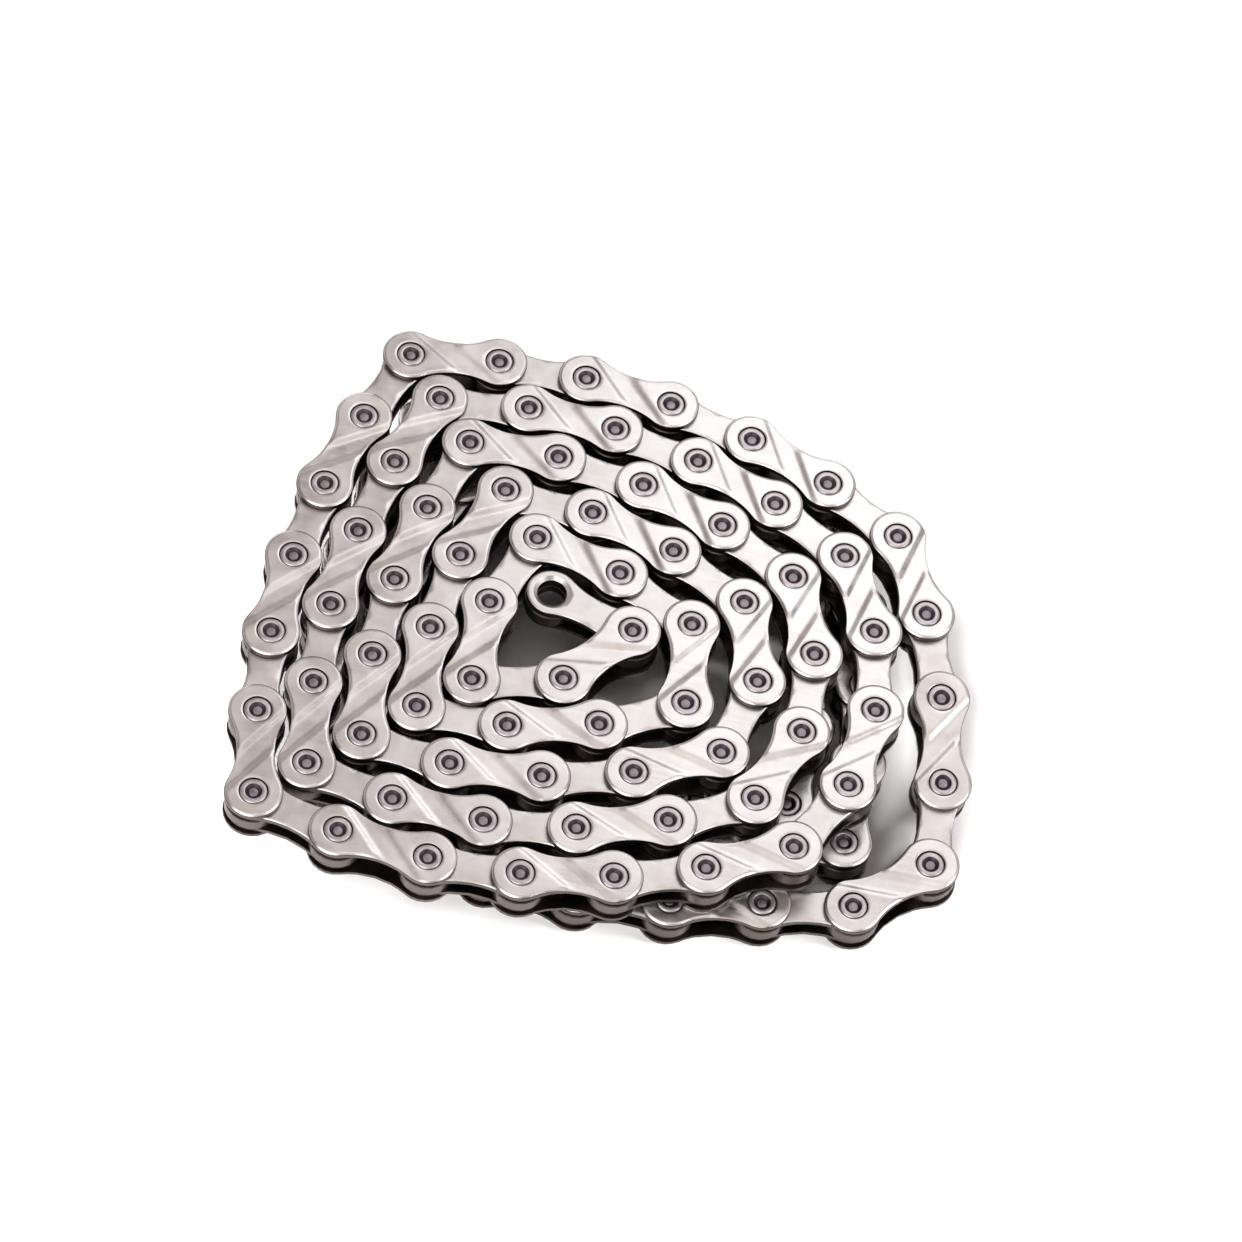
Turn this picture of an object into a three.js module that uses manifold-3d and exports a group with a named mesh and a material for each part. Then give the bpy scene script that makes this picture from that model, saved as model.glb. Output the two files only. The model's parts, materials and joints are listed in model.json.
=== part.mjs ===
// A bicycle roller chain of 116 links, coiled flat in two layers as it lies on a table.
// Millimetres, +Z up.  The origin is the bottom centre of the whole coil.
//
// The chain is walked from its free inner end.  Joint 0 is the open bore of the first link and
// joint n is the far end of the n-th link.  Counted from one, odd links are inner links, which
// carry the rollers, and even links are outer links, which carry the pins.  The first six links
// are separate plates, rollers and pins.  Further on two or more links make one node.

import * as THREE from "three";
import { mergeVertices } from "three/addons/utils/BufferGeometryUtils.js";
import Module from "manifold-3d";

const wasm = await Module();
wasm.setup();

// ---------------------------------------------------------------- driving dimensions

const PITCH = 12.7;

const ROLLER_DIAMETER = 7.75;
const ROLLER_WIDTH = 2.1;
const ROLLER_BORE = 5.4;

const INNER_WIDTH = 2.2; // between the two inner plates
const INNER_PLATE_THICKNESS = 0.85;
const OUTER_PLATE_THICKNESS = 0.9;
const SIDE_GAP = 0.1; // between an inner plate and the outer plate over it

const OUTER_END_RADIUS = 4.05;
const OUTER_HALF_WAIST = 2.6;
const INNER_END_RADIUS = 3.6;
const INNER_HALF_WAIST = 2.3;

const COLLAR_DIAMETER = 5.0; // the formed collar that a roller turns on
const COLLAR_HEIGHT = 1.0;
const COLLAR_BORE = 4.1;

const PIN_DIAMETER = 3.6;
const PIN_SEAT = 3.8; // the hole in an outer plate
const DIMPLE_DIAMETER = 1.7;
const DIMPLE_DEPTH = 0.5;

// The upper layer goes down to the lower one over SLOPE_LINKS links from joint SLOPE_START.
const LEVEL_DROP = 6.0;
const SLOPE_START = 70;
const SLOPE_LINKS = 7;

// Where the nodes begin, counted in links from the free end.
const SEPARATE_LINKS = 6;
const INNER_TURNS_END = 54;
const OUTER_TURN_END = 70;
const CROSSING_END = 78;
const LOWER_NODE_ENDS = [90, 102, 116];

// Sides of the coil from the free end outwards: the number of links, then the heading of the
// first and of the last one, in degrees clockwise from +X, counted on from turn to turn.
const UPPER_SIDES = [
  // the free end, lying across the middle
  [1, 18, 18], [2, 129, 166],
  // first turn: left, back, right and front side
  [2, 270, 291], [2, 373, 387], [1, 444, 444], [3, 511, 540],
  // second turn
  [3, 627, 649], [3, 723, 748], [2, 792, 824], [4, 872, 907],
  // third turn
  [4, 985, 1007], [4, 1077, 1108], [3, 1147, 1191], [5, 1231, 1272],
  // fourth turn
  [5, 1342, 1369], [5, 1433, 1469], [4, 1502, 1557], [6, 1592, 1634],
  // outer turn, whose right side slopes down to the lower layer
  [6, 1700, 1730], [6, 1791, 1829], [4, 1862, 1888], [2, 1938, 1969],
];

// The lower layer winds inwards again: front, left, back and right side of each turn.
const LOWER_SIDES = [
  [5, 1968, 1998], [5, 2057, 2087], [5, 2148, 2179], [4, 2233, 2250],
  [1, 2323, 2323], [4, 2328, 2351], [1, 2409, 2409], [3, 2426, 2447], [4, 2512, 2536], [3, 2595, 2613],
  [3, 2690, 2702], [1, 2733, 2733],
];

// Facets: round ends, hollow sides and round holes, fine for the separate pieces.
const FINE = { end: 6, side: 3, round: 12 };
const COARSE = { end: 4, side: 2, round: 6 };

// ---------------------------------------------------------------- derived heights, from mid-chain

const INNER_PLATE_Z = INNER_WIDTH / 2;
const OUTER_PLATE_Z = INNER_PLATE_Z + INNER_PLATE_THICKNESS + SIDE_GAP;
const PIN_HALF = OUTER_PLATE_Z + OUTER_PLATE_THICKNESS;

// ---------------------------------------------------------------- materials

const steel = (color, roughness) =>
  new THREE.MeshStandardMaterial({ color, roughness, metalness: 1 });

const OUTER_PLATE_STEEL = steel(0xd9d4d0, 0.24);
const INNER_PLATE_STEEL = steel(0xcfcac7, 0.3);
const ROLLER_STEEL = steel(0x8f8a88, 0.35);
const PIN_STEEL = steel(0x8a8488, 0.4);
const JOINED_STEEL = steel(0xd2cdc9, 0.28);

// ---------------------------------------------------------------- solids

function toSolid(geometry) {
  const bare = geometry.index ? geometry.toNonIndexed() : geometry.clone();
  bare.deleteAttribute("normal");
  bare.deleteAttribute("uv");
  const merged = mergeVertices(bare, 1e-5);
  return new wasm.Manifold(new wasm.Mesh({
    numProp: 3,
    vertProperties: new Float32Array(merged.attributes.position.array),
    triVerts: new Uint32Array(merged.index.array),
  }));
}

function toGeometry(solid) {
  const mesh = solid.getMesh();
  const geometry = new THREE.BufferGeometry();
  geometry.setAttribute("position", new THREE.BufferAttribute(mesh.vertProperties, 3));
  geometry.setIndex(new THREE.BufferAttribute(mesh.triVerts, 1));
  geometry.computeVertexNormals();
  return geometry;
}

/** The two heights of a layer on one side of the mid-plane, the lower one first. */
const heights = (side, near, far) => (side > 0 ? [near, far] : [-far, -near]);

/** The corners of a regular polygon about (x, 0). */
function circle(radius, sides, x) {
  return Array.from({ length: sides }, (_, k) => {
    const angle = (2 * Math.PI * (k + 0.5)) / sides;
    return new THREE.Vector2(x + radius * Math.cos(angle), radius * Math.sin(angle));
  });
}

function slab(shape, low, high) {
  const geometry = new THREE.ExtrudeGeometry(shape, { depth: high - low, bevelEnabled: false });
  return geometry.translate(0, 0, low);
}

const prism = (radius, low, high, sides, x) =>
  slab(new THREE.Shape(circle(radius, sides, x)), low, high);

/** A solid of revolution about Z from [radius, height] corners. */
function turned(profile, sides) {
  const points = profile.map(([radius, z]) => new THREE.Vector2(radius, z));
  return new THREE.LatheGeometry(points, sides).rotateX(Math.PI / 2);
}

/** A plate outline: two half-round ends joined by hollow sides, drawn counter-clockwise. */
function plateOutline(endRadius, halfWaist, facets) {
  const reach = PITCH / 2;
  const hollow = (reach ** 2 + halfWaist ** 2 - endRadius ** 2) / (2 * (endRadius - halfWaist));
  const turn = Math.atan2(reach, halfWaist + hollow);
  const half = [];
  for (let k = 0; k <= facets.end; k += 1) {
    const angle = (Math.PI * k) / facets.end - Math.PI / 2;
    half.push(new THREE.Vector2(reach + endRadius * Math.cos(angle), endRadius * Math.sin(angle)));
  }
  const corner = hollow / Math.cos(turn / facets.side);
  for (let k = 0; k < facets.side; k += 1) {
    const angle = turn * (1 - (2 * k + 1) / facets.side);
    half.push(new THREE.Vector2(corner * Math.sin(angle), halfWaist + hollow - corner * Math.cos(angle)));
  }
  return [...half, ...half.map((point) => point.clone().negate())];
}

// ---------------------------------------------------------------- separate pieces

/** An outer plate with its two pin seats. side is +1 for the top plate and -1 for the bottom one. */
function outerPlate(side) {
  const shape = new THREE.Shape(plateOutline(OUTER_END_RADIUS, OUTER_HALF_WAIST, FINE));
  for (const x of [-PITCH / 2, PITCH / 2]) {
    shape.holes.push(new THREE.Path(circle(PIN_SEAT / 2, FINE.round, x)));
  }
  const [low, high] = heights(side, OUTER_PLATE_Z, OUTER_PLATE_Z + OUTER_PLATE_THICKNESS);
  return slab(shape, low, high);
}

/** An inner plate with the two collars formed from its own metal. */
function innerPlate(side) {
  const face = INNER_PLATE_Z + INNER_PLATE_THICKNESS;
  const shape = new THREE.Shape(plateOutline(INNER_END_RADIUS, INNER_HALF_WAIST, FINE));
  let solid = toSolid(slab(shape, ...heights(side, INNER_PLATE_Z, face)));
  for (const x of [-PITCH / 2, PITCH / 2]) {
    const reach = heights(side, INNER_PLATE_Z - COLLAR_HEIGHT, face - INNER_PLATE_THICKNESS / 2);
    solid = solid.add(toSolid(prism(COLLAR_DIAMETER / 2, ...reach, FINE.round, x)));
  }
  for (const x of [-PITCH / 2, PITCH / 2]) {
    const bore = prism(COLLAR_BORE / 2, -PIN_HALF, PIN_HALF, FINE.round, x);
    solid = solid.subtract(toSolid(bore));
  }
  return toGeometry(solid);
}

function roller() {
  const half = ROLLER_WIDTH / 2;
  const profile = [
    [ROLLER_BORE / 2, -half],
    [ROLLER_DIAMETER / 2, -half],
    [ROLLER_DIAMETER / 2, half],
    [ROLLER_BORE / 2, half],
    [ROLLER_BORE / 2, -half],
  ];
  return turned(profile, FINE.round);
}

/** A solid pin with a punched dimple in each head. */
function pin() {
  const floor = PIN_HALF - DIMPLE_DEPTH;
  const profile = [
    [0, -floor],
    [DIMPLE_DIAMETER / 2, -PIN_HALF],
    [PIN_DIAMETER / 2, -PIN_HALF],
    [PIN_DIAMETER / 2, PIN_HALF],
    [DIMPLE_DIAMETER / 2, PIN_HALF],
    [0, floor],
  ];
  return turned(profile, FINE.round);
}

// ---------------------------------------------------------------- joined links

/** A shape laid in the two plate layers of one link, without holes. */
function platePair(shape, isInner) {
  const near = isInner ? INNER_PLATE_Z : OUTER_PLATE_Z;
  const far = near + (isInner ? INNER_PLATE_THICKNESS : OUTER_PLATE_THICKNESS);
  return [slab(shape, near, far), slab(shape, -far, -near)];
}

/**
 * A run of links as one solid, from the bore of its first link to the pin of its last one.
 * In a filled run every joint is one column, so its inner plates are plain bars between columns.
 */
function joinedLinks(run, filled) {
  const home = run[0].matrix.clone().invert();
  const far = PITCH / 2;
  const inInner = INNER_PLATE_Z + INNER_PLATE_THICKNESS / 2;
  const inOuter = OUTER_PLATE_Z + OUTER_PLATE_THICKNESS / 2;
  const outer = new THREE.Shape(plateOutline(OUTER_END_RADIUS, OUTER_HALF_WAIST, COARSE));
  const corners = [[1, -1], [1, 1], [-1, 1], [-1, -1]];
  const bar = corners.map(([x, y]) => new THREE.Vector2(x * (far - 1), y * INNER_HALF_WAIST));
  const whole = plateOutline(INNER_END_RADIUS, INNER_HALF_WAIST, COARSE);
  const inner = new THREE.Shape(filled ? bar : whole);
  const column = filled
    ? [INNER_END_RADIUS, INNER_PLATE_Z + INNER_PLATE_THICKNESS, inOuter]
    : [ROLLER_DIAMETER / 2, inInner, inInner];
  const solids = [toSolid(prism(column[0], -column[1], column[1], COARSE.round, -far))];
  run.forEach((link, k) => {
    const place = home.clone().multiply(link.matrix);
    const add = (geometry) => solids.push(toSolid(geometry.applyMatrix4(place)));
    platePair(link.isInner ? inner : outer, link.isInner).forEach(add);
    if (k === run.length - 1) {
      add(prism(PIN_DIAMETER / 2, -inOuter, inOuter, COARSE.round, far));
      return;
    }
    add(prism(column[0], -column[2], column[2], COARSE.round, far));
    if (!filled) {
      add(prism(PIN_DIAMETER / 2, inInner, inOuter, 4, far));
      add(prism(PIN_DIAMETER / 2, -inOuter, -inInner, 4, far));
    }
  });
  const boreRadius = COLLAR_BORE / 2 / Math.cos(Math.PI / COARSE.round);
  const bore = prism(boreRadius, -PIN_HALF, PIN_HALF, COARSE.round, -far);
  return toGeometry(solids.reduce((all, solid) => all.add(solid)).subtract(toSolid(bore)));
}

// ---------------------------------------------------------------- the chain's route

/** Slope of each link in radians: a smooth descent of LEVEL_DROP over SLOPE_LINKS links. */
function slopeOf(link) {
  const step = link - SLOPE_START;
  if (step < 0 || step >= SLOPE_LINKS) return 0;
  const share = (k) => Math.sin((Math.PI * (k + 0.5)) / SLOPE_LINKS) ** 2;
  return Math.asin((LEVEL_DROP / PITCH) * share(step) / (SLOPE_LINKS / 2));
}

function walkRoute() {
  const headings = [...UPPER_SIDES, ...LOWER_SIDES].flatMap(([count, first, last]) =>
    Array.from({ length: count }, (_, k) => first + ((last - first) * k) / Math.max(1, count - 1)));
  const joints = [new THREE.Vector3(0, 0, LEVEL_DROP + PIN_HALF)];
  const links = headings.map((heading, k) => {
    const turn = new THREE.Euler(0, slopeOf(k), THREE.MathUtils.degToRad(-heading), "ZYX");
    const step = new THREE.Vector3(PITCH, 0, 0).applyEuler(turn);
    const from = joints[k];
    joints.push(from.clone().add(step));
    const middle = from.clone().addScaledVector(step, 0.5);
    const matrix = new THREE.Matrix4().makeRotationFromEuler(turn).setPosition(middle);
    return { isInner: k % 2 === 0, turn, middle, matrix };
  });
  return { joints, links };
}

// ---------------------------------------------------------------- assembly

const { joints, links } = walkRoute();
const chain = new THREE.Group();

function place(name, geometry, material, position, turn) {
  const mesh = new THREE.Mesh(geometry, material);
  mesh.name = name;
  mesh.position.copy(position);
  if (turn) mesh.rotation.copy(turn);
  chain.add(mesh);
}

/** The first links, piece by piece. */
for (let k = 0; k < SEPARATE_LINKS; k += 1) {
  const { isInner, middle, turn } = links[k];
  const name = `link_${k + 1}`;
  if (isInner) {
    place(`${name}_inner_plate_top`, innerPlate(1), INNER_PLATE_STEEL, middle, turn);
    place(`${name}_inner_plate_bottom`, innerPlate(-1), INNER_PLATE_STEEL, middle, turn);
    place(`${name}_roller_1`, roller(), ROLLER_STEEL, joints[k], turn);
    place(`${name}_roller_2`, roller(), ROLLER_STEEL, joints[k + 1], turn);
  } else {
    place(`${name}_outer_plate_top`, outerPlate(1), OUTER_PLATE_STEEL, middle, turn);
    place(`${name}_outer_plate_bottom`, outerPlate(-1), OUTER_PLATE_STEEL, middle, turn);
    place(`${name}_pin_1`, pin(), PIN_STEEL, joints[k], turn);
    place(`${name}_pin_2`, pin(), PIN_STEEL, joints[k + 1], turn);
  }
}

function joinedNode(name, start, end, filled) {
  const geometry = joinedLinks(links.slice(start, end), filled);
  place(`${name}_${start + 1}_${end}`, geometry, JOINED_STEEL, links[start].middle, links[start].turn);
}

/** The nested turns and the outer turn, two links to a node. */
for (let k = SEPARATE_LINKS; k < OUTER_TURN_END; k += 2) {
  joinedNode(k < INNER_TURNS_END ? "coil_links" : "outer_turn_links", k, k + 2, false);
}

/** The crossing from one layer to the other, and the lower layer. */
joinedNode("crossing_links", OUTER_TURN_END, CROSSING_END, true);
[CROSSING_END, ...LOWER_NODE_ENDS].slice(0, -1).forEach((start, k) => {
  joinedNode("lower_coil_links", start, LOWER_NODE_ENDS[k], true);
});

/** The origin goes to the bottom centre of the whole coil. */
const box = new THREE.Box3().setFromObject(chain, true);
const centre = box.getCenter(new THREE.Vector3());
chain.position.set(-centre.x, -centre.y, -box.min.z);

export default chain;
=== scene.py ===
"""A coiled roller chain: every plate, pin and roller of its 116 links, on the CAD frame."""
import json
import math

import bmesh
import bpy
import numpy as np
from mathutils import Matrix, Vector


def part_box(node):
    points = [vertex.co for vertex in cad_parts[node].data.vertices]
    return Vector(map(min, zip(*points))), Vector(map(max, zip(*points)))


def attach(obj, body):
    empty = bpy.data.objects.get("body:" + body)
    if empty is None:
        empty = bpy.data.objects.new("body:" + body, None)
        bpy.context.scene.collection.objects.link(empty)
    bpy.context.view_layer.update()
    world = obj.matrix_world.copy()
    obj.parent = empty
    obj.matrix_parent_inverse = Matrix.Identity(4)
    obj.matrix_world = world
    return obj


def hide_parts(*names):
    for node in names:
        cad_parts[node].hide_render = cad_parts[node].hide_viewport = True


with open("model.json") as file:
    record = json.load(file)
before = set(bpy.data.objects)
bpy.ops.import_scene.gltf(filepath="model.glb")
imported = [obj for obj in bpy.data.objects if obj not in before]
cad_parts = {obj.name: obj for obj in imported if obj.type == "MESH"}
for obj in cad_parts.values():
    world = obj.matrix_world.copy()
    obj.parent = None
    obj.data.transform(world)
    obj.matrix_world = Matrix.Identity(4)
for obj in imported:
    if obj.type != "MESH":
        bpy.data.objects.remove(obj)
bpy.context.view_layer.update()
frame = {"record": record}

MM = 0.001

# ---------------------------------------------------------------- dimensions, millimetres

PITCH = 12.7
REACH = PITCH / 2
INNER_Z = (1.1, 1.95)
OUTER_Z = (2.05, 2.95)
OUTER_END, OUTER_WAIST = 4.02, 2.58
INNER_END, INNER_WAIST = 3.6, 2.3
LEVEL_DROP = 6.0
SLOPE_START, SLOPE_LINKS = 70, 7
SEPARATE_LINKS = 6
UPPER_LINKS = 78

# The band pressed across an outer plate, between its two raised teardrop ends.
BAND_ANGLE = math.radians(42)
BAND_HALF = 1.45
BAND_RAMP = 0.95
BAND_DEPTH = 0.26
RIM_WIDTH = 0.36
RIM_MIDDLE = 0.2
# The outermost strip of a plate's top, this wide, is painted dark as a thin contact shadow.
RIM_SHADOW_LINE = 0.08
LOWER_CHAMFER = 0.06
RIM_DROP = 0.22
INNER_RIM_WIDTH = 0.25
INNER_RIM_DROP = 0.12
SEAT_LIP_WIDTH = 0.18
SEAT_LIP_DEPTH = 0.05
BORE_RING = 0.1

# Pins, collars and rollers: radii, heights from mid-chain, and the sizes of small features.
# The free link's bore has a wide countersink.
PIN_SEAT = 2.05
PIN_GROOVE = PIN_SEAT - 0.005
PIN_TIP = OUTER_Z[1] - 0.03
PIN_SHOULDER = 1.8
BORE = 2.05
FREE_BORE = BORE + 0.05
COLLAR = 2.45
COLLAR_CHAMFER = 0.1
COLLAR_LOW, COLLAR_HIGH = 0.1, INNER_Z[0] + 0.05
TURNED_TOP = INNER_Z[1] - 0.5
TURNED_RINGS = 9
TURNED_DEPTH = 0.06
COUNTERSINK = 0.55
COUNTERSINK_SLOPE = 0.8
ROLLER, ROLLER_BORE = 3.875, 2.65
ROLLER_HALF, ROLLER_CHAMFER = 1.05, 0.15

# Sides of the coil from the free end outwards: links, first heading, last heading,
# in degrees clockwise from +X, first the upper layer and then the lower one.
SIDES = [
    (1, 18, 18), (2, 129, 166), (2, 270, 291), (2, 373, 387), (1, 444, 444), (3, 511, 540),
    (3, 627, 649), (3, 723, 748), (2, 792, 824), (4, 872, 907),
    (4, 985, 1007), (4, 1077, 1108), (3, 1147, 1191), (5, 1231, 1272),
    (5, 1342, 1369), (5, 1433, 1469), (4, 1502, 1557), (6, 1592, 1634),
    (6, 1700, 1730), (6, 1791, 1829), (4, 1862, 1888), (2, 1938, 1969),
    (5, 1968, 1998), (5, 2057, 2087), (5, 2148, 2179), (4, 2233, 2250),
    (1, 2323, 2323), (4, 2328, 2351), (1, 2409, 2409), (3, 2426, 2447), (4, 2512, 2536),
    (3, 2595, 2613), (3, 2690, 2702), (1, 2733, 2733),
]

# ---------------------------------------------------------------- the route


def slope_of(link):
    """How steeply a link of the crossing dips, in radians: most in the middle of the crossing."""
    step = link - SLOPE_START
    if step < 0 or step >= SLOPE_LINKS:
        return 0.0
    share = math.sin(math.pi * (step + 0.5) / SLOPE_LINKS) ** 2
    return math.asin(LEVEL_DROP / PITCH * share / (SLOPE_LINKS / 2))


def walk_route():
    """Every joint, and the matrix of every link, in millimetres in the row frame."""
    headings = []
    for count, first, last in SIDES:
        headings += [first + (last - first) * k / max(1, count - 1) for k in range(count)]
    joints, turns = [Vector((0, 0, 0))], []
    for k, heading in enumerate(headings):
        turn = Matrix.Rotation(math.radians(-heading), 3, "Z") @ Matrix.Rotation(slope_of(k), 3, "Y")
        turns.append(turn)
        joints.append(joints[-1] + turn @ Vector((PITCH, 0, 0)))
    low, high = (Vector(corner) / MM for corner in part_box("link_2_pin_1"))
    shift = (low + high) / 2 - joints[1]
    joints = [joint + shift for joint in joints]
    places = []
    for k, turn in enumerate(turns):
        middle = (joints[k] + joints[k + 1]) / 2
        places.append(Matrix.Translation(middle) @ turn.to_4x4())
    return joints, places


JOINTS, PLACES = walk_route()

# ---------------------------------------------------------------- templates

# The edge, roller and dimple materials are darker than the steel itself: their colour paints the shade
# between the laps, inside bores and in the pin heads' recesses.
TOP, EDGE, INNER_FACE, ROLLER_FACE, PIN_FACE, RECESS_SHADE, PIN_CENTRE = range(7)


def smooth(t):
    """A soft step from 0 to 1."""
    t = np.clip(t, 0, 1)
    return t * t * (3 - 2 * t)


def hollow_radius(end, waist):
    """Radius of the hollow sides that touch both round ends."""
    return (REACH ** 2 + waist ** 2 - end ** 2) / (2 * (end - waist))


def edge_distance(x, y, end, waist):
    """How far a point of a plate is inside its outline."""
    rho = hollow_radius(end, waist)
    tangent_x = REACH - end * REACH / (end + rho)
    from_end = end - np.hypot(np.abs(x) - REACH, y)
    from_side = np.hypot(x, np.abs(y) - waist - rho) - rho
    return np.where(np.abs(x) > tangent_x, from_end, from_side)


def half_angles(end, waist, fine):
    """Ray directions about a pin centre: the round end, the hollow side, the middle line."""
    rho = hollow_radius(end, waist)
    tangent = math.pi / 2 + math.atan2(REACH, waist + rho)
    corner = math.atan2(waist, -REACH)
    end_steps, side_steps, middle_steps = (15, 7, 6) if fine else (8, 3, 2)
    half = list(np.linspace(0, tangent, end_steps, endpoint=False))
    half += list(np.linspace(tangent, corner, side_steps, endpoint=False))
    half += list(np.linspace(corner, math.pi, middle_steps + 1))
    return np.array([-a for a in half[:0:-1]] + half), corner


def reach_of_ray(angle, end, waist):
    """How far a ray from a pin centre runs before it meets the outline or the middle line."""
    rho = hollow_radius(end, waist)
    tangent = math.pi / 2 + math.atan2(REACH, waist + rho)
    size = abs(angle)
    if size <= tangent + 1e-9:
        return end
    c, s = math.cos(size), math.sin(size)
    cx, cy = -REACH, waist + rho
    along = c * cx + s * cy
    gap = along * along - (cx * cx + cy * cy - rho * rho)
    if gap > 0:
        t = along - math.sqrt(gap)
        if t > 0 and t * c >= -REACH - 1e-6:
            return t
    return REACH / -c


def outer_height(x, y):
    """Top of an outer plate: rounded rim, and a band pressed diagonally across the middle."""
    rim = edge_distance(x, y, OUTER_END, OUTER_WAIST)
    drop = RIM_DROP * np.clip(1 - rim / RIM_WIDTH, 0, 1)
    across = x * math.sin(BAND_ANGLE) + y * math.cos(BAND_ANGLE)
    band = 1 - smooth((np.abs(across) - BAND_HALF + BAND_RAMP / 2) / BAND_RAMP)
    seat = np.hypot(np.abs(x) - REACH, y)
    lip = SEAT_LIP_DEPTH * (1 - smooth((seat - PIN_SEAT) / SEAT_LIP_WIDTH))
    return OUTER_Z[1] - np.maximum(drop, BAND_DEPTH * band) - lip


def inner_height(x, y):
    """Top of an inner plate: flat, with a softly rounded rim."""
    rim = edge_distance(x, y, INNER_END, INNER_WAIST)
    return INNER_Z[1] - INNER_RIM_DROP * (1 - smooth(rim / INNER_RIM_WIDTH))


def plate(end, waist, bottom, height, hole, fine, face, countersink=0.0):
    """One plate, top side up: a polar grid about each pin, mirrored by half a turn."""
    angles, corner = half_angles(end, waist, fine)
    on_middle = np.abs(angles) > corner - 1e-9
    reach = np.array([reach_of_ray(a, end, waist) for a in angles])
    rim_steps = [RIM_MIDDLE, RIM_SHADOW_LINE, 0.0] if fine else [RIM_SHADOW_LINE, 0.0]
    face_steps = 12 if fine else 5
    rings = [hole + (reach - RIM_WIDTH - hole) * k / face_steps for k in range(face_steps + 1)]
    if fine:
        rings.insert(1, np.full(len(angles), hole + BORE_RING))
    rings = np.array(rings + [reach - step for step in rim_steps])
    x, y = REACH + rings * np.cos(angles), rings * np.sin(angles)
    z = height(x, y)
    if countersink:
        share = np.clip((hole + countersink - rings) / countersink, 0, 1)
        z = z - COUNTERSINK_SLOPE * countersink * share
    top = np.stack([x, y, z], axis=-1)
    low = np.stack([x[[0, -1]], y[[0, -1]], np.full((2, len(angles)), bottom)], axis=-1)
    low[1, :, 2] += LOWER_CHAMFER
    verts, faces, mats = [], [], []

    def add(grid, material, flip, rim=None, leave_middle=False):
        """Faces of a grid of points; rim is the row that takes the edge's dark material, a thin
        painted contact shadow round the top.
        """
        base = sum(len(v) for v in verts)
        rows, cols = grid.shape[:2]
        verts.append(grid.reshape(-1, 3))
        for i in range(rows - 1):
            for j in range(cols - 1):
                middle = on_middle[j] and on_middle[j + 1]
                if middle and leave_middle:
                    continue
                a, b = base + i * cols + j, base + i * cols + j + 1
                c, d = b + cols, a + cols
                faces.append((d, c, b, a) if flip else (a, b, c, d))
                mats.append(EDGE if i == rim and not middle else material)

    # The top's outermost strip takes the dark edge steel: a painted contact shadow round the plate.
    add(top, face, True, rim=len(top) - 2)
    # The underside and the side and hole walls take the dark edge steel, partly the edges' own darker
    # steel and partly painted shade between the laps.
    add(low, EDGE, False)
    add(np.stack([top[-1], low[-1]]), EDGE, True, leave_middle=True)
    add(np.stack([low[0], top[0]]), EDGE, True)
    verts = np.concatenate(verts)
    half = len(verts)
    verts = np.concatenate([verts, verts * (-1, -1, 1)])
    faces += [tuple(i + half for i in f) for f in faces]
    return verts, faces, mats + mats


def lathe(profile, sides):
    """A turned piece from (radius, height, material of the band that follows) corners."""
    angles = np.linspace(0, 2 * math.pi, sides, endpoint=False)
    rows = [np.stack([r * np.cos(angles), r * np.sin(angles), np.full(sides, z)], axis=-1)
            for r, z, _ in profile]
    faces, mats = [], []
    for i, (_, _, material) in enumerate(profile[:-1]):
        for j in range(sides):
            n = (j + 1) % sides
            faces.append((i * sides + j, i * sides + n, (i + 1) * sides + n, (i + 1) * sides + j))
            mats.append(material)
    return np.concatenate(rows), faces, mats


def flipped(template):
    """The same piece turned over about the link's length."""
    verts, faces, mats = template
    return verts * (1, -1, -1), faces, mats


def moved(template, x):
    """The same piece further along the link."""
    verts, faces, mats = template
    return verts + (x, 0, 0), faces, mats


def pin_template(sides):
    """A riveted pin: at each end a domed head, with a round dimple that has a flat floor; the dimple's
    walls and the groove round the head are painted near-black as shade.
    """
    # From the axis outwards: radius, depth below the tip, material of the band that follows.
    end = [
        (0.001, 0.34, PIN_CENTRE), (0.58, 0.34, PIN_CENTRE), (0.64, 0.36, RECESS_SHADE),
        (0.74, 0.42, RECESS_SHADE), (1.06, 0.12, RECESS_SHADE), (1.18, 0.04, PIN_FACE), (1.32, 0.0, PIN_FACE),
        (1.66, 0.01, PIN_FACE), (1.83, 0.07, PIN_FACE), (1.91, 0.18, RECESS_SHADE),
        (PIN_GROOVE - 0.035, 0.3, RECESS_SHADE), (PIN_GROOVE, 0.33, PIN_FACE),
    ]
    half = [(r, PIN_TIP - depth, band) for r, depth, band in end]
    half += [(PIN_GROOVE, OUTER_Z[0] + 0.05, PIN_FACE), (PIN_SHOULDER, OUTER_Z[0], PIN_FACE)]
    bands = [band for _, _, band in half[-2::-1]] + [PIN_FACE]
    lower = [(r, -z, band) for (r, z, _), band in zip(half[::-1], bands)]
    verts, faces, mats = lathe(half + lower, sides)
    return verts, [f[::-1] for f in faces], mats


def roller_template(sides):
    """A short hardened tube with chamfered rims."""
    side = ROLLER - ROLLER_CHAMFER
    low, high = -ROLLER_HALF, ROLLER_HALF
    profile = [
        (ROLLER_BORE, low), (side, low), (ROLLER, low + ROLLER_CHAMFER),
        (ROLLER, high - ROLLER_CHAMFER), (side, high), (ROLLER_BORE, high), (ROLLER_BORE, low),
    ]
    return lathe([(r, z, ROLLER_FACE) for r, z in profile], sides)


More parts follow.
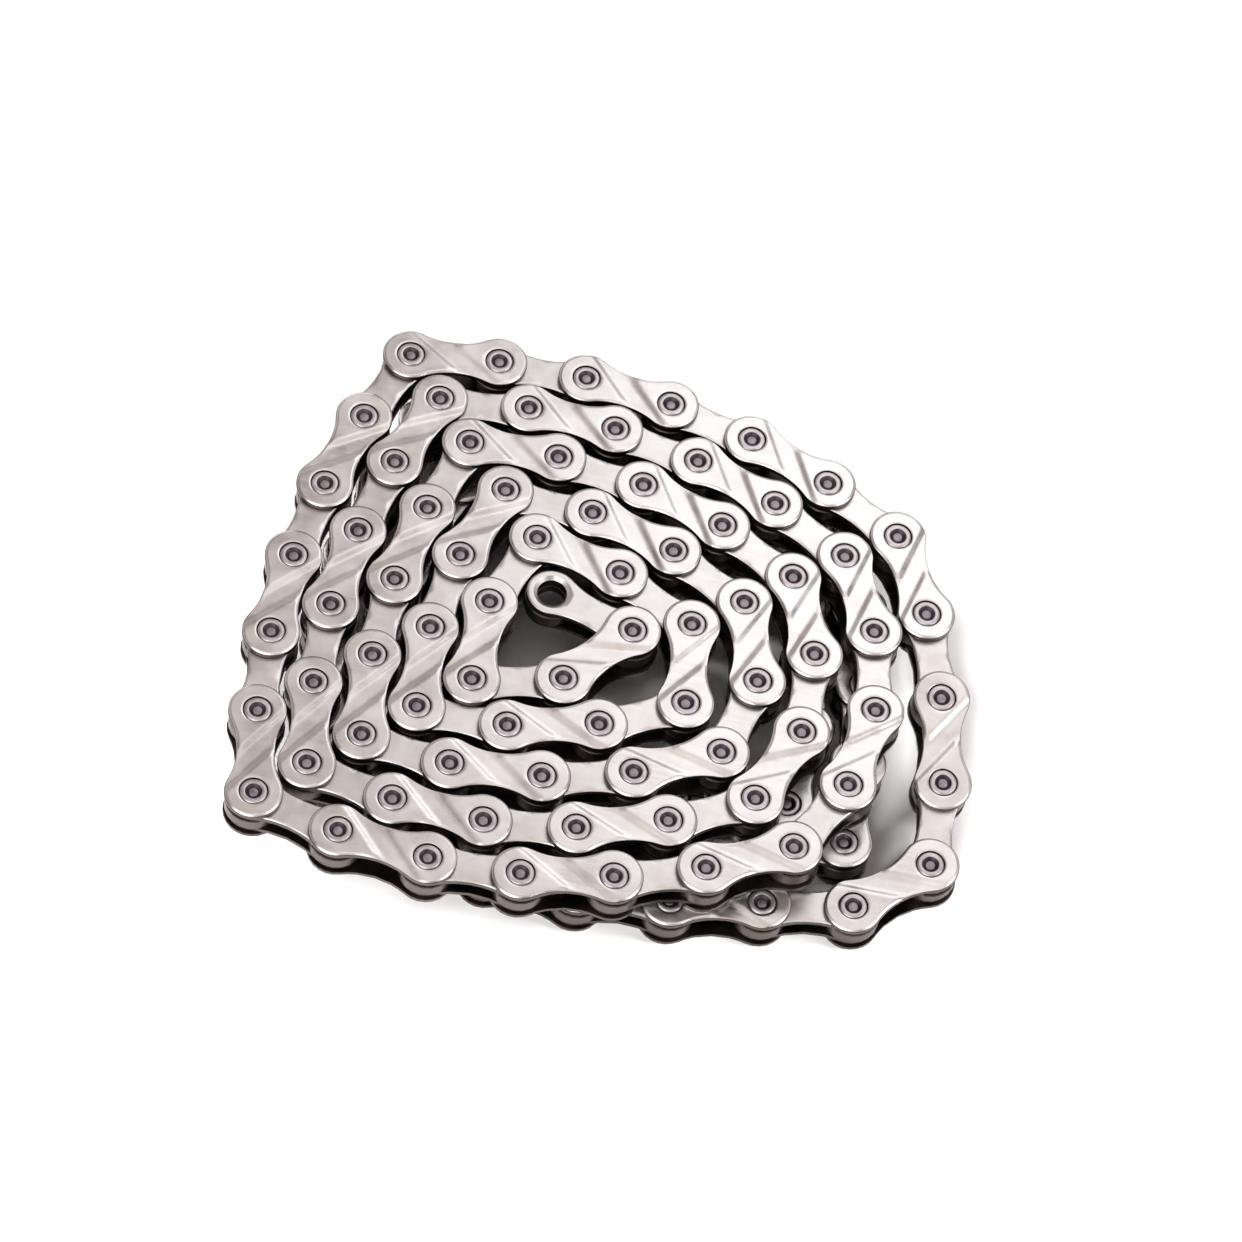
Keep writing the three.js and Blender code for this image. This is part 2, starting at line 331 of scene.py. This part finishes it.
def collar_template(sides, turned):
    """The collar that an inner plate forms round its bore; the free link's has turned rings inside.
    The bore walls and rings take the dark edge and roller steels, which paint the shade inside the
    bore.
    """
    profile = [
        (COLLAR, COLLAR_HIGH, INNER_FACE), (COLLAR, COLLAR_LOW + COLLAR_CHAMFER, INNER_FACE),
        (COLLAR - COLLAR_CHAMFER, COLLAR_LOW, INNER_FACE), (BORE, COLLAR_LOW, EDGE),
    ]
    if not turned:
        return lathe(profile + [(BORE, COLLAR_HIGH, EDGE)], sides)
    depth = TURNED_TOP - COLLAR_LOW
    for k in range(1, TURNED_RINGS + 1):
        radius = BORE + (TURNED_DEPTH if k % 2 else 0)
        # The rings alternate dark roller and edge steel: painted shade inside the bore.
        band = ROLLER_FACE if k % 3 else EDGE
        profile.append((radius, COLLAR_LOW + depth * k / TURNED_RINGS, band))
    return lathe(profile, sides)


def templates(fine):
    """Every kind of piece, about the middle of its link or about its own pin."""
    sides = 40 if fine else 20
    return {
        "outer": plate(OUTER_END, OUTER_WAIST, OUTER_Z[0], outer_height, PIN_SEAT, fine, TOP),
        "inner": plate(INNER_END, INNER_WAIST, INNER_Z[0], inner_height, BORE, fine, INNER_FACE),
        "pin": pin_template(sides),
        "roller": roller_template(sides),
        "collar": collar_template(sides, False),
    }


FINE = templates(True)
PLAIN = templates(False)
FREE = {
    "inner": plate(
        INNER_END, INNER_WAIST, INNER_Z[0], inner_height, FREE_BORE, True, INNER_FACE, COUNTERSINK
    ),
    "collar": collar_template(40, True),
}

# ---------------------------------------------------------------- materials

BRUSH_SCALE, BRUSH_DETAIL = 900.0, 3.0
BRUSH_STRETCH = (0.12, 2.2, 1.0)
BRUSH_ANGLE = math.radians(28)
FILM_DETAIL = 4.0
FILM_FROM, FILM_TO = 0.3, 0.72
DENT_DEPTH = 0.0002


def node_material(name, base, rough, spread=0.05, grain=220.0, bump=0.06, tint=None, scratch=0.4):
    """A metal whose colour, gloss and surface vary: cloudy film, fine scratches and small dents."""
    material = bpy.data.materials.new(name)
    material.use_nodes = True
    nodes, links = material.node_tree.nodes, material.node_tree.links
    shader = nodes["Principled BSDF"]
    shader.inputs["Metallic"].default_value = 1.0
    where = nodes.new("ShaderNodeTexCoord")

    def noise(scale, detail, stretch=None):
        """Noise over the object's own space, drawn out into lines by a stretch."""
        texture = nodes.new("ShaderNodeTexNoise")
        texture.inputs["Scale"].default_value = scale
        texture.inputs["Detail"].default_value = detail
        if stretch:
            mapping = nodes.new("ShaderNodeMapping")
            mapping.inputs["Scale"].default_value = stretch
            mapping.inputs["Rotation"].default_value = (0, 0, BRUSH_ANGLE)
            links.new(where.outputs["Object"], mapping.inputs["Vector"])
            links.new(mapping.outputs["Vector"], texture.inputs["Vector"])
        else:
            links.new(where.outputs["Object"], texture.inputs["Vector"])
        return texture.outputs["Fac"]

    cloud = noise(grain, FILM_DETAIL)
    lines = noise(BRUSH_SCALE, BRUSH_DETAIL, BRUSH_STRETCH)
    ramp = nodes.new("ShaderNodeValToRGB")
    ramp.color_ramp.elements[0].position = FILM_FROM
    ramp.color_ramp.elements[1].position = FILM_TO
    dark = [channel * (1 - spread * 2.4) for channel in (tint or base)]
    ramp.color_ramp.elements[0].color = (*dark, 1)
    ramp.color_ramp.elements[1].color = (*base, 1)
    links.new(cloud, ramp.inputs["Fac"])
    links.new(ramp.outputs["Color"], shader.inputs["Base Color"])
    relief = nodes.new("ShaderNodeMath")
    relief.operation = "MULTIPLY_ADD"
    links.new(lines, relief.inputs[0])
    relief.inputs[1].default_value = scratch
    links.new(cloud, relief.inputs[2])
    gloss = nodes.new("ShaderNodeMapRange")
    gloss.inputs["From Min"].default_value = 0.35
    gloss.inputs["From Max"].default_value = 1.05
    gloss.inputs["To Min"].default_value = max(0.05, rough - 0.08)
    gloss.inputs["To Max"].default_value = rough + 0.12
    links.new(relief.outputs["Value"], gloss.inputs["Value"])
    links.new(gloss.outputs["Result"], shader.inputs["Roughness"])
    dents = nodes.new("ShaderNodeBump")
    dents.inputs["Strength"].default_value = bump
    dents.inputs["Distance"].default_value = DENT_DEPTH
    links.new(relief.outputs["Value"], dents.inputs["Height"])
    links.new(dents.outputs["Normal"], shader.inputs["Normal"])
    return material


WORN = {"spread": 0.09, "bump": 0.09, "scratch": 0.6}
DUSTY = {"spread": 0.17, "bump": 0.25, "grain": 900}
MATERIALS = [
    node_material("nickel_outer_plate", (0.95, 0.94, 0.935), 0.27, tint=(0.88, 0.85, 0.84), **WORN),
    # Plate edges: partly the edges' own darker steel, darkened further so that the colour paints the
    # shade on side walls and undersides between the laps.
    node_material("dark_plate_edge_and_painted_shade", (0.13, 0.105, 0.095), 0.3, spread=0.2, bump=0.14),
    node_material("nickel_inner_plate", (0.95, 0.94, 0.93), 0.3, tint=(0.87, 0.845, 0.825), **WORN),
    # Rollers: dark hardened steel, darkened further so that the colour paints the shade they sit in
    # between the laps.
    node_material("hardened_roller_and_painted_shade", (0.15, 0.122, 0.11), 0.32, spread=0.12, bump=0.1),
    node_material("pin_steel", (0.78, 0.73, 0.765), 0.36, spread=0.14, bump=0.2, grain=700),
    # Near-black for the dimple walls and the groove round each pin head: painted shade in these
    # recesses.
    node_material("pin_dimple_painted_shade", (0.12, 0.1, 0.115), 0.45, **DUSTY),
    node_material("pin_centre_steel", (0.46, 0.42, 0.46), 0.42, **DUSTY),
]

# ---------------------------------------------------------------- pieces

WELD = 1e-7
SHARP_ANGLE = math.radians(38)


def build(name, parts, node, body):
    """One object from (template, place) pairs, standing for a CAD node."""
    verts, faces, mats = [], [], []
    base = 0
    for (points, corners, kinds), place in parts:
        matrix = np.array(place)
        verts.append(points @ matrix[:3, :3].T + matrix[:3, 3])
        faces += [tuple(i + base for i in face) for face in corners]
        mats += kinds
        base += len(points)
    verts = np.concatenate(verts) * MM
    mesh = bpy.data.meshes.new(name)
    mesh.from_pydata(verts.tolist(), [], faces)
    for material in MATERIALS:
        mesh.materials.append(material)
    mesh.polygons.foreach_set("material_index", mats)
    bm = bmesh.new()
    bm.from_mesh(mesh)
    bmesh.ops.remove_doubles(bm, verts=bm.verts, dist=WELD)
    bm.to_mesh(mesh)
    bm.free()
    mesh.polygons.foreach_set("use_smooth", [True] * len(mesh.polygons))
    mesh.set_sharp_from_angle(angle=SHARP_ANGLE)
    piece = bpy.data.objects.new(name, mesh)
    bpy.context.scene.collection.objects.link(piece)
    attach(piece, body)
    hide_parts(node)


def link_parts(k):
    """All plates, pins, rollers and collars of a link; what faces down or lies below is plainer."""
    upper = FINE if k < UPPER_LINKS else PLAIN
    place = PLACES[k]
    if k % 2:
        parts = [(upper["outer"], place), (flipped(PLAIN["outer"]), place)]
        parts += [(moved(upper["pin"], x), place) for x in (-REACH, REACH)]
        return parts
    parts = [(upper["inner"], place), (flipped(PLAIN["inner"]), place)]
    for x in (-REACH, REACH):
        parts.append((moved(PLAIN["roller"], x), place))
        parts.append((moved(PLAIN["collar"], x), place))
        parts.append((moved(flipped(PLAIN["collar"]), x), place))
    return parts


def at(joint, link):
    """The place of a piece that is centred on a joint and turned like a link."""
    return Matrix.Translation(JOINTS[joint]) @ PLACES[link].to_3x3().to_4x4()


RECORD = frame["record"]
BODY_OF = {node: body for body, nodes in RECORD["behaviour"]["bodies"].items() for node in nodes}


def piece(name, parts, slot):
    """The detailed piece that stands for a CAD node and rides on its body."""
    build(name + "_detail", parts, name, BODY_OF[name])


for k in range(SEPARATE_LINKS):
    place, name = PLACES[k], "link_%d" % (k + 1)
    if k % 2:
        piece(name + "_outer_plate_top", [(FINE["outer"], place)], "outer_plate")
        piece(name + "_outer_plate_bottom", [(flipped(PLAIN["outer"]), place)], "outer_plate")
        piece(name + "_pin_1", [(FINE["pin"], at(k, k))], "pin")
        piece(name + "_pin_2", [(FINE["pin"], at(k + 1, k))], "pin")
        continue
    shape = FINE if k else FREE
    for side, turn in (("top", lambda t: t), ("bottom", flipped)):
        parts = [(turn(shape["inner"]), place)]
        parts += [(moved(turn(shape["collar"]), x), place) for x in (-REACH, REACH)]
        piece("%s_inner_plate_%s" % (name, side), parts, "inner_plate")
    piece(name + "_roller_1", [(FINE["roller"], at(k, k))], "roller")
    piece(name + "_roller_2", [(FINE["roller"], at(k + 1, k))], "roller")

for node in BODY_OF:
    if "_links_" not in node:
        continue
    first, last = (int(word) for word in node.split("_")[-2:])
    parts = []
    for k in range(first - 1, last):
        parts += link_parts(k)
    piece(node, parts, "joined_links")

# ---------------------------------------------------------------- stage, light and camera

FLOOR = 3.0
PAPER = 0.86
floor_mesh = bpy.data.meshes.new("floor")
corners = [(x, y, 0) for x, y in ((-FLOOR, -FLOOR), (FLOOR, -FLOOR), (FLOOR, FLOOR), (-FLOOR, FLOOR))]
floor_mesh.from_pydata(corners, [], [(0, 1, 2, 3)])
floor = bpy.data.objects.new("floor", floor_mesh)
bpy.context.scene.collection.objects.link(floor)
paper = bpy.data.materials.new("white_paper")
paper.use_nodes = True
paper_shader = paper.node_tree.nodes["Principled BSDF"]
paper_shader.inputs["Base Color"].default_value = (PAPER, PAPER, PAPER, 1)
paper_shader.inputs["Roughness"].default_value = 0.8
floor_mesh.materials.append(paper)

scene = bpy.context.scene

# The sky is bright near the horizon, dark above, and bright again straight overhead. The dark
# part keeps the gaps in the coil dark. Each level is a height and a brightness, a little warm.
world = bpy.data.worlds.new("studio")
scene.world = world
world.use_nodes = True
sky, sky_links = world.node_tree.nodes, world.node_tree.links
direction = sky.new("ShaderNodeTexCoord")
height = sky.new("ShaderNodeSeparateXYZ")
sky_links.new(direction.outputs["Generated"], height.inputs["Vector"])
shade = sky.new("ShaderNodeValToRGB")
SKY_GREEN, SKY_BLUE = 0.9, 0.86
levels = [(0.0, 0.3), (0.25, 0.62), (0.5, 0.48), (0.7, 0.17), (0.84, 0.05), (1.0, 1.0)]
for at_height, _ in levels[1:-1]:
    shade.color_ramp.elements.new(at_height)
for stop, (at_height, level) in zip(shade.color_ramp.elements, levels):
    stop.position = at_height
    stop.color = (level, level * SKY_GREEN, level * SKY_BLUE, 1)
sky_links.new(height.outputs["Z"], shade.inputs["Fac"])
sky_links.new(shade.outputs["Color"], sky["Background"].inputs["Color"])
sky["Background"].inputs["Strength"].default_value = 1.0

# The chain's lamps leave the paper out, and the paper has soft suns of its own.
chain_only = bpy.data.collections.new("chain_only")
chain_only.objects.link(floor)
chain_only.collection_objects[0].light_linking.link_state = "EXCLUDE"
paper_only = bpy.data.collections.new("paper_only")
paper_only.objects.link(floor)


def area_light(name, where, towards, size, radiance, color=(1, 1, 1)):
    """A softbox that lights the chain and leaves the paper out."""
    data = bpy.data.lights.new(name, "AREA")
    data.shape = "RECTANGLE"
    data.size, data.size_y = size
    data.energy = radiance * math.pi * size[0] * size[1]
    data.color = color
    lamp = bpy.data.objects.new(name, data)
    lamp.location = where
    lamp.rotation_euler = (Vector(towards) - Vector(where)).to_track_quat("-Z", "Y").to_euler()
    lamp.light_linking.receiver_collection = chain_only
    lamp.visible_camera = False
    scene.collection.objects.link(lamp)


def paper_sun(name, compass, elevation, brightness):
    """A soft sun on the paper alone; brightness is what it adds to the paper's own."""
    data = bpy.data.lights.new(name, "SUN")
    data.angle = math.radians(16)
    data.energy = brightness * math.pi / PAPER / math.sin(math.radians(elevation))
    lamp = bpy.data.objects.new(name, data)
    lamp.rotation_euler = (0, math.radians(90 - elevation), math.radians(compass))
    lamp.light_linking.receiver_collection = paper_only
    scene.collection.objects.link(lamp)


area_light("panel_back", (-0.03, 0.46, 0.68), (-0.03, 0.3, 0), (0.75, 0.6), 0.22, (1, 0.8, 0.74))
area_light(
    "softbox_back", (0.062, 0.19, 0.247), (0.062, 0.035, -0.01), (0.18, 0.18), 1.22, (0.95, 0.985, 1)
)
area_light("key_front", (-0.3, -0.6, 0.85), (0, 0, 0), (0.7, 0.5), 3.2)
area_light("fill_right", (0.8, -0.1, 0.9), (0, 0, 0), (0.6, 0.6), 2.6)
paper_sun("paper_sun_right", 0, 24, 0.36)
paper_sun("paper_sun_back", 140, 46, 0.4)
paper_sun("paper_sun_left", 180, 24, 0.36)
paper_sun("paper_sun_front", 270, 24, 0.46)

# The camera looks down at the coil from in front and is rolled a little.
TOP_Z = (JOINTS[0].z + OUTER_Z[1]) * MM
ELEVATION = math.radians(58.84)
ROLL = math.radians(12)
DISTANCE = 0.6961
SENSOR, LENS = 36, 144.928
TARGET_X, TARGET_Y = JOINTS[0].x + 10.24, JOINTS[0].y - 2.97
TARGET = Vector((TARGET_X, TARGET_Y, 0)) * MM + Vector((0, 0, TOP_Z))
forward = Vector((0, math.cos(ELEVATION), -math.sin(ELEVATION)))
right = Vector((1, 0, 0))
up = right.cross(forward)
right, up = (
    math.cos(ROLL) * right + math.sin(ROLL) * up,
    math.cos(ROLL) * up - math.sin(ROLL) * right,
)
camera_data = bpy.data.cameras.new("camera")
camera_data.lens = LENS
camera_data.sensor_width = SENSOR
camera_data.clip_start = 0.01
camera = bpy.data.objects.new("camera", camera_data)
turn = Matrix((right, up, -forward)).transposed().to_4x4()
camera.matrix_world = Matrix.Translation(TARGET - forward * DISTANCE) @ turn
scene.collection.objects.link(camera)
scene.camera = camera
scene.view_settings.view_transform = "Standard"
